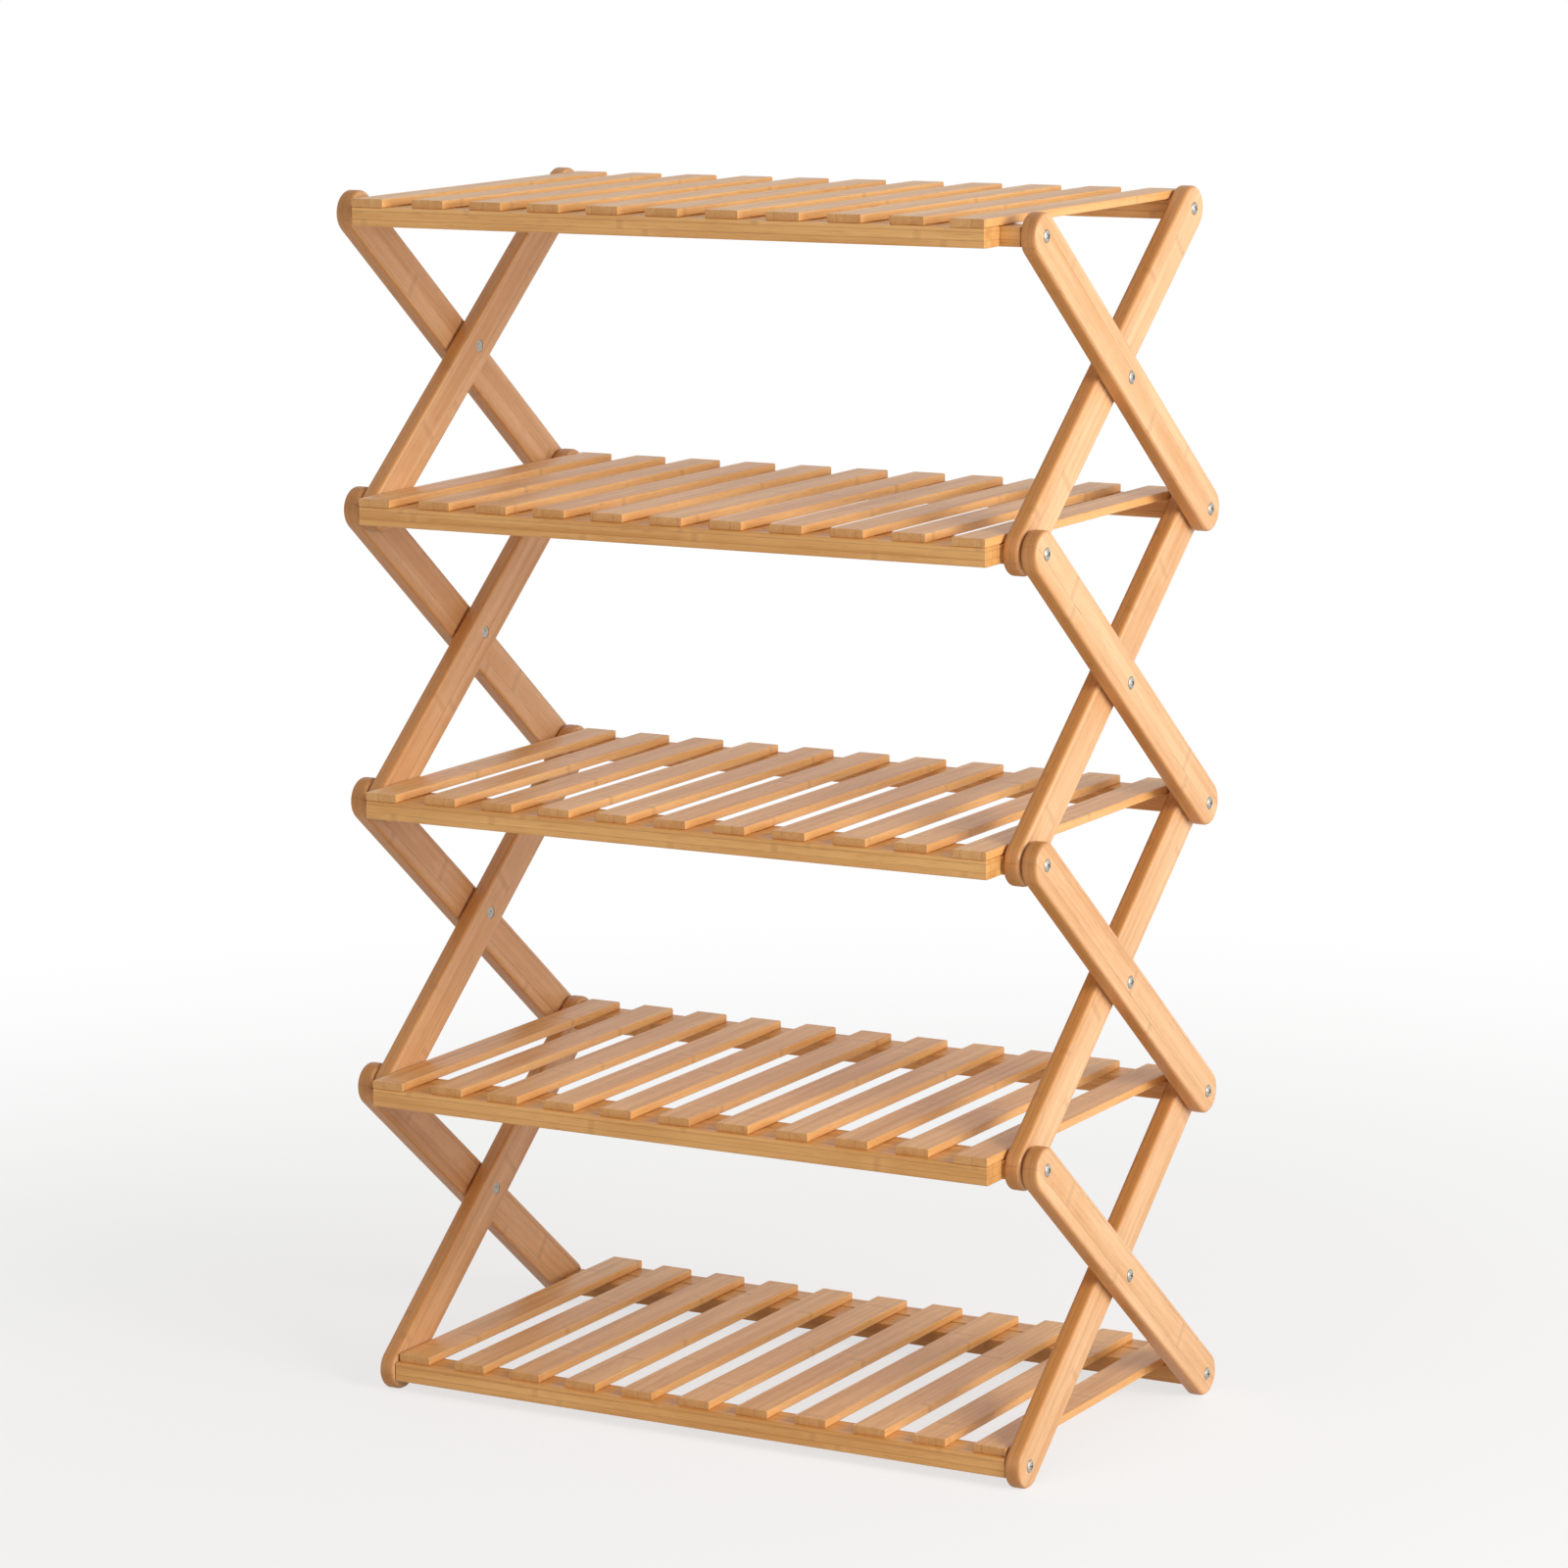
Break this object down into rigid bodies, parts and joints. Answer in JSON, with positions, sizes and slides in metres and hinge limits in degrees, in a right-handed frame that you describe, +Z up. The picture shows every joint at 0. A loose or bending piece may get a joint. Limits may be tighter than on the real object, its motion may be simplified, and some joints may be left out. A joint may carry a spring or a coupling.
{
  "type": "folding slatted shoe rack",
  "caption": "Free-standing folding shoe rack: slatted bamboo shelves stacked on crossed scissor legs, joined by round-headed screws, that folds flat front to back.",
  "frame": {"origin": "on the floor, midway between the four feet", "axes": "+Z up, -Y the front, +X the right-hand side seen from the front"},
  "size_m": [0.5592, 0.33, 0.879],
  "materials": {
    "leg_bamboo": "clear satin varnish over laminated bamboo, light honey",
    "bar_bamboo": "clear satin varnish over laminated bamboo, honey",
    "slat_bamboo": "clear satin varnish over split bamboo strip, honey",
    "screw_steel": "zinc plated steel, dull bright",
    "washer_steel": "zinc plated steel, dull",
    "nail_steel": "bright drawn steel"
  },
  "bodies": {
    "root": {"tier_1_back_bar": "bar_bamboo", "tier_1_back_screws": "screw_steel"},
    "outer_frame_1": {"level_1_outer_leg_left": "leg_bamboo", "level_1_outer_leg_right": "leg_bamboo", "level_1_washers": "washer_steel", "level_1_crossing_rivets": "screw_steel", "tier_2_front_bar": "bar_bamboo", "tier_2_front_screws": "screw_steel"},
    "inner_frame_1": {"level_1_inner_leg_left": "leg_bamboo", "level_1_inner_leg_right": "leg_bamboo"},
    "outer_frame_2": {"level_2_outer_leg_left": "leg_bamboo", "level_2_outer_leg_right": "leg_bamboo", "level_2_washers": "washer_steel", "level_2_crossing_rivets": "screw_steel", "tier_3_front_bar": "bar_bamboo", "tier_3_front_screws": "screw_steel"},
    "inner_frame_2": {"level_2_inner_leg_left": "leg_bamboo", "level_2_inner_leg_right": "leg_bamboo"},
    "outer_frame_3": {"level_3_outer_leg_left": "leg_bamboo", "level_3_outer_leg_right": "leg_bamboo", "level_3_washers": "washer_steel", "level_3_crossing_rivets": "screw_steel", "tier_4_front_bar": "bar_bamboo", "tier_4_front_screws": "screw_steel"},
    "inner_frame_3": {"level_3_inner_leg_left": "leg_bamboo", "level_3_inner_leg_right": "leg_bamboo"},
    "outer_frame_4": {"level_4_outer_leg_left": "leg_bamboo", "level_4_outer_leg_right": "leg_bamboo", "level_4_washers": "washer_steel", "level_4_crossing_rivets": "screw_steel", "tier_5_front_bar": "bar_bamboo", "tier_5_front_screws": "screw_steel"},
    "inner_frame_4": {"level_4_inner_leg_left": "leg_bamboo", "level_4_inner_leg_right": "leg_bamboo"},
    "shelf_1": {"tier_1_front_bar": "bar_bamboo", "tier_1_front_screws": "screw_steel", "tier_1_batten": "bar_bamboo", "tier_1_slats": "slat_bamboo", "tier_1_nails": "nail_steel"},
    "shelf_2": {"tier_2_back_bar": "bar_bamboo", "tier_2_back_screws": "screw_steel", "tier_2_batten": "bar_bamboo", "tier_2_slats": "slat_bamboo", "tier_2_nails": "nail_steel"},
    "shelf_3": {"tier_3_back_bar": "bar_bamboo", "tier_3_back_screws": "screw_steel", "tier_3_batten": "bar_bamboo", "tier_3_slats": "slat_bamboo", "tier_3_nails": "nail_steel"},
    "shelf_4": {"tier_4_back_bar": "bar_bamboo", "tier_4_back_screws": "screw_steel", "tier_4_batten": "bar_bamboo", "tier_4_slats": "slat_bamboo", "tier_4_nails": "nail_steel"},
    "shelf_5": {"tier_5_back_bar": "bar_bamboo", "tier_5_back_screws": "screw_steel", "tier_5_batten": "bar_bamboo", "tier_5_slats": "slat_bamboo", "tier_5_nails": "nail_steel"}
  },
  "joints": [
    {"name": "fold", "type": "hinge", "parent": "outer_frame_1", "child": "inner_frame_1", "pos_m": [0, 0, 0.121], "axis": [1, 0, 0], "range_deg": [0, 89]},
    {"name": "base_bar_hinge", "type": "hinge", "parent": "root", "child": "outer_frame_1", "pos_m": [0, 0.129, 0.015], "axis": [-1, 0, 0], "range_deg": [0, 44.5]},
    {"name": "tier_2_front_pivot", "type": "hinge", "parent": "outer_frame_1", "child": "inner_frame_2", "pos_m": [0, -0.129, 0.227], "axis": [-1, 0, 0], "range_deg": [-89, 0]},
    {"name": "level_2_crossing", "type": "hinge", "parent": "inner_frame_2", "child": "outer_frame_2", "pos_m": [0, 0, 0.333], "axis": [-1, 0, 0], "range_deg": [0, 89]},
    {"name": "tier_3_front_pivot", "type": "hinge", "parent": "outer_frame_2", "child": "inner_frame_3", "pos_m": [0, -0.129, 0.439], "axis": [-1, 0, 0], "range_deg": [-89, 0]},
    {"name": "level_3_crossing", "type": "hinge", "parent": "inner_frame_3", "child": "outer_frame_3", "pos_m": [0, 0, 0.545], "axis": [-1, 0, 0], "range_deg": [0, 89]},
    {"name": "tier_4_front_pivot", "type": "hinge", "parent": "outer_frame_3", "child": "inner_frame_4", "pos_m": [0, -0.129, 0.651], "axis": [-1, 0, 0], "range_deg": [-89, 0]},
    {"name": "level_4_crossing", "type": "hinge", "parent": "inner_frame_4", "child": "outer_frame_4", "pos_m": [0, 0, 0.757], "axis": [-1, 0, 0], "range_deg": [0, 89]},
    {"name": "tier_1_shelf_hinge", "type": "hinge", "parent": "inner_frame_1", "child": "shelf_1", "pos_m": [0, -0.129, 0.015], "axis": [-1, 0, 0], "range_deg": [-44.5, 0]},
    {"name": "tier_2_shelf_hinge", "type": "hinge", "parent": "inner_frame_1", "child": "shelf_2", "pos_m": [0, 0.129, 0.227], "axis": [-1, 0, 0], "range_deg": [0, 133.5]},
    {"name": "tier_3_shelf_hinge", "type": "hinge", "parent": "inner_frame_2", "child": "shelf_3", "pos_m": [0, 0.129, 0.439], "axis": [-1, 0, 0], "range_deg": [0, 133.5]},
    {"name": "tier_4_shelf_hinge", "type": "hinge", "parent": "inner_frame_3", "child": "shelf_4", "pos_m": [0, 0.129, 0.651], "axis": [-1, 0, 0], "range_deg": [0, 133.5]},
    {"name": "tier_5_shelf_hinge", "type": "hinge", "parent": "inner_frame_4", "child": "shelf_5", "pos_m": [0, 0.129, 0.863], "axis": [-1, 0, 0], "range_deg": [0, 133.5]}
  ],
  "couplings": [
    {"joint": "base_bar_hinge", "follows": "fold", "ratio": 0.5},
    {"joint": "tier_2_front_pivot", "follows": "fold", "ratio": -1},
    {"joint": "level_2_crossing", "follows": "fold", "ratio": 1},
    {"joint": "tier_3_front_pivot", "follows": "fold", "ratio": -1},
    {"joint": "level_3_crossing", "follows": "fold", "ratio": 1},
    {"joint": "tier_4_front_pivot", "follows": "fold", "ratio": -1},
    {"joint": "level_4_crossing", "follows": "fold", "ratio": 1},
    {"joint": "tier_1_shelf_hinge", "follows": "fold", "ratio": -0.5},
    {"joint": "tier_2_shelf_hinge", "follows": "fold", "ratio": 1.5},
    {"joint": "tier_3_shelf_hinge", "follows": "fold", "ratio": 1.5},
    {"joint": "tier_4_shelf_hinge", "follows": "fold", "ratio": 1.5},
    {"joint": "tier_5_shelf_hinge", "follows": "fold", "ratio": 1.5}
  ]
}
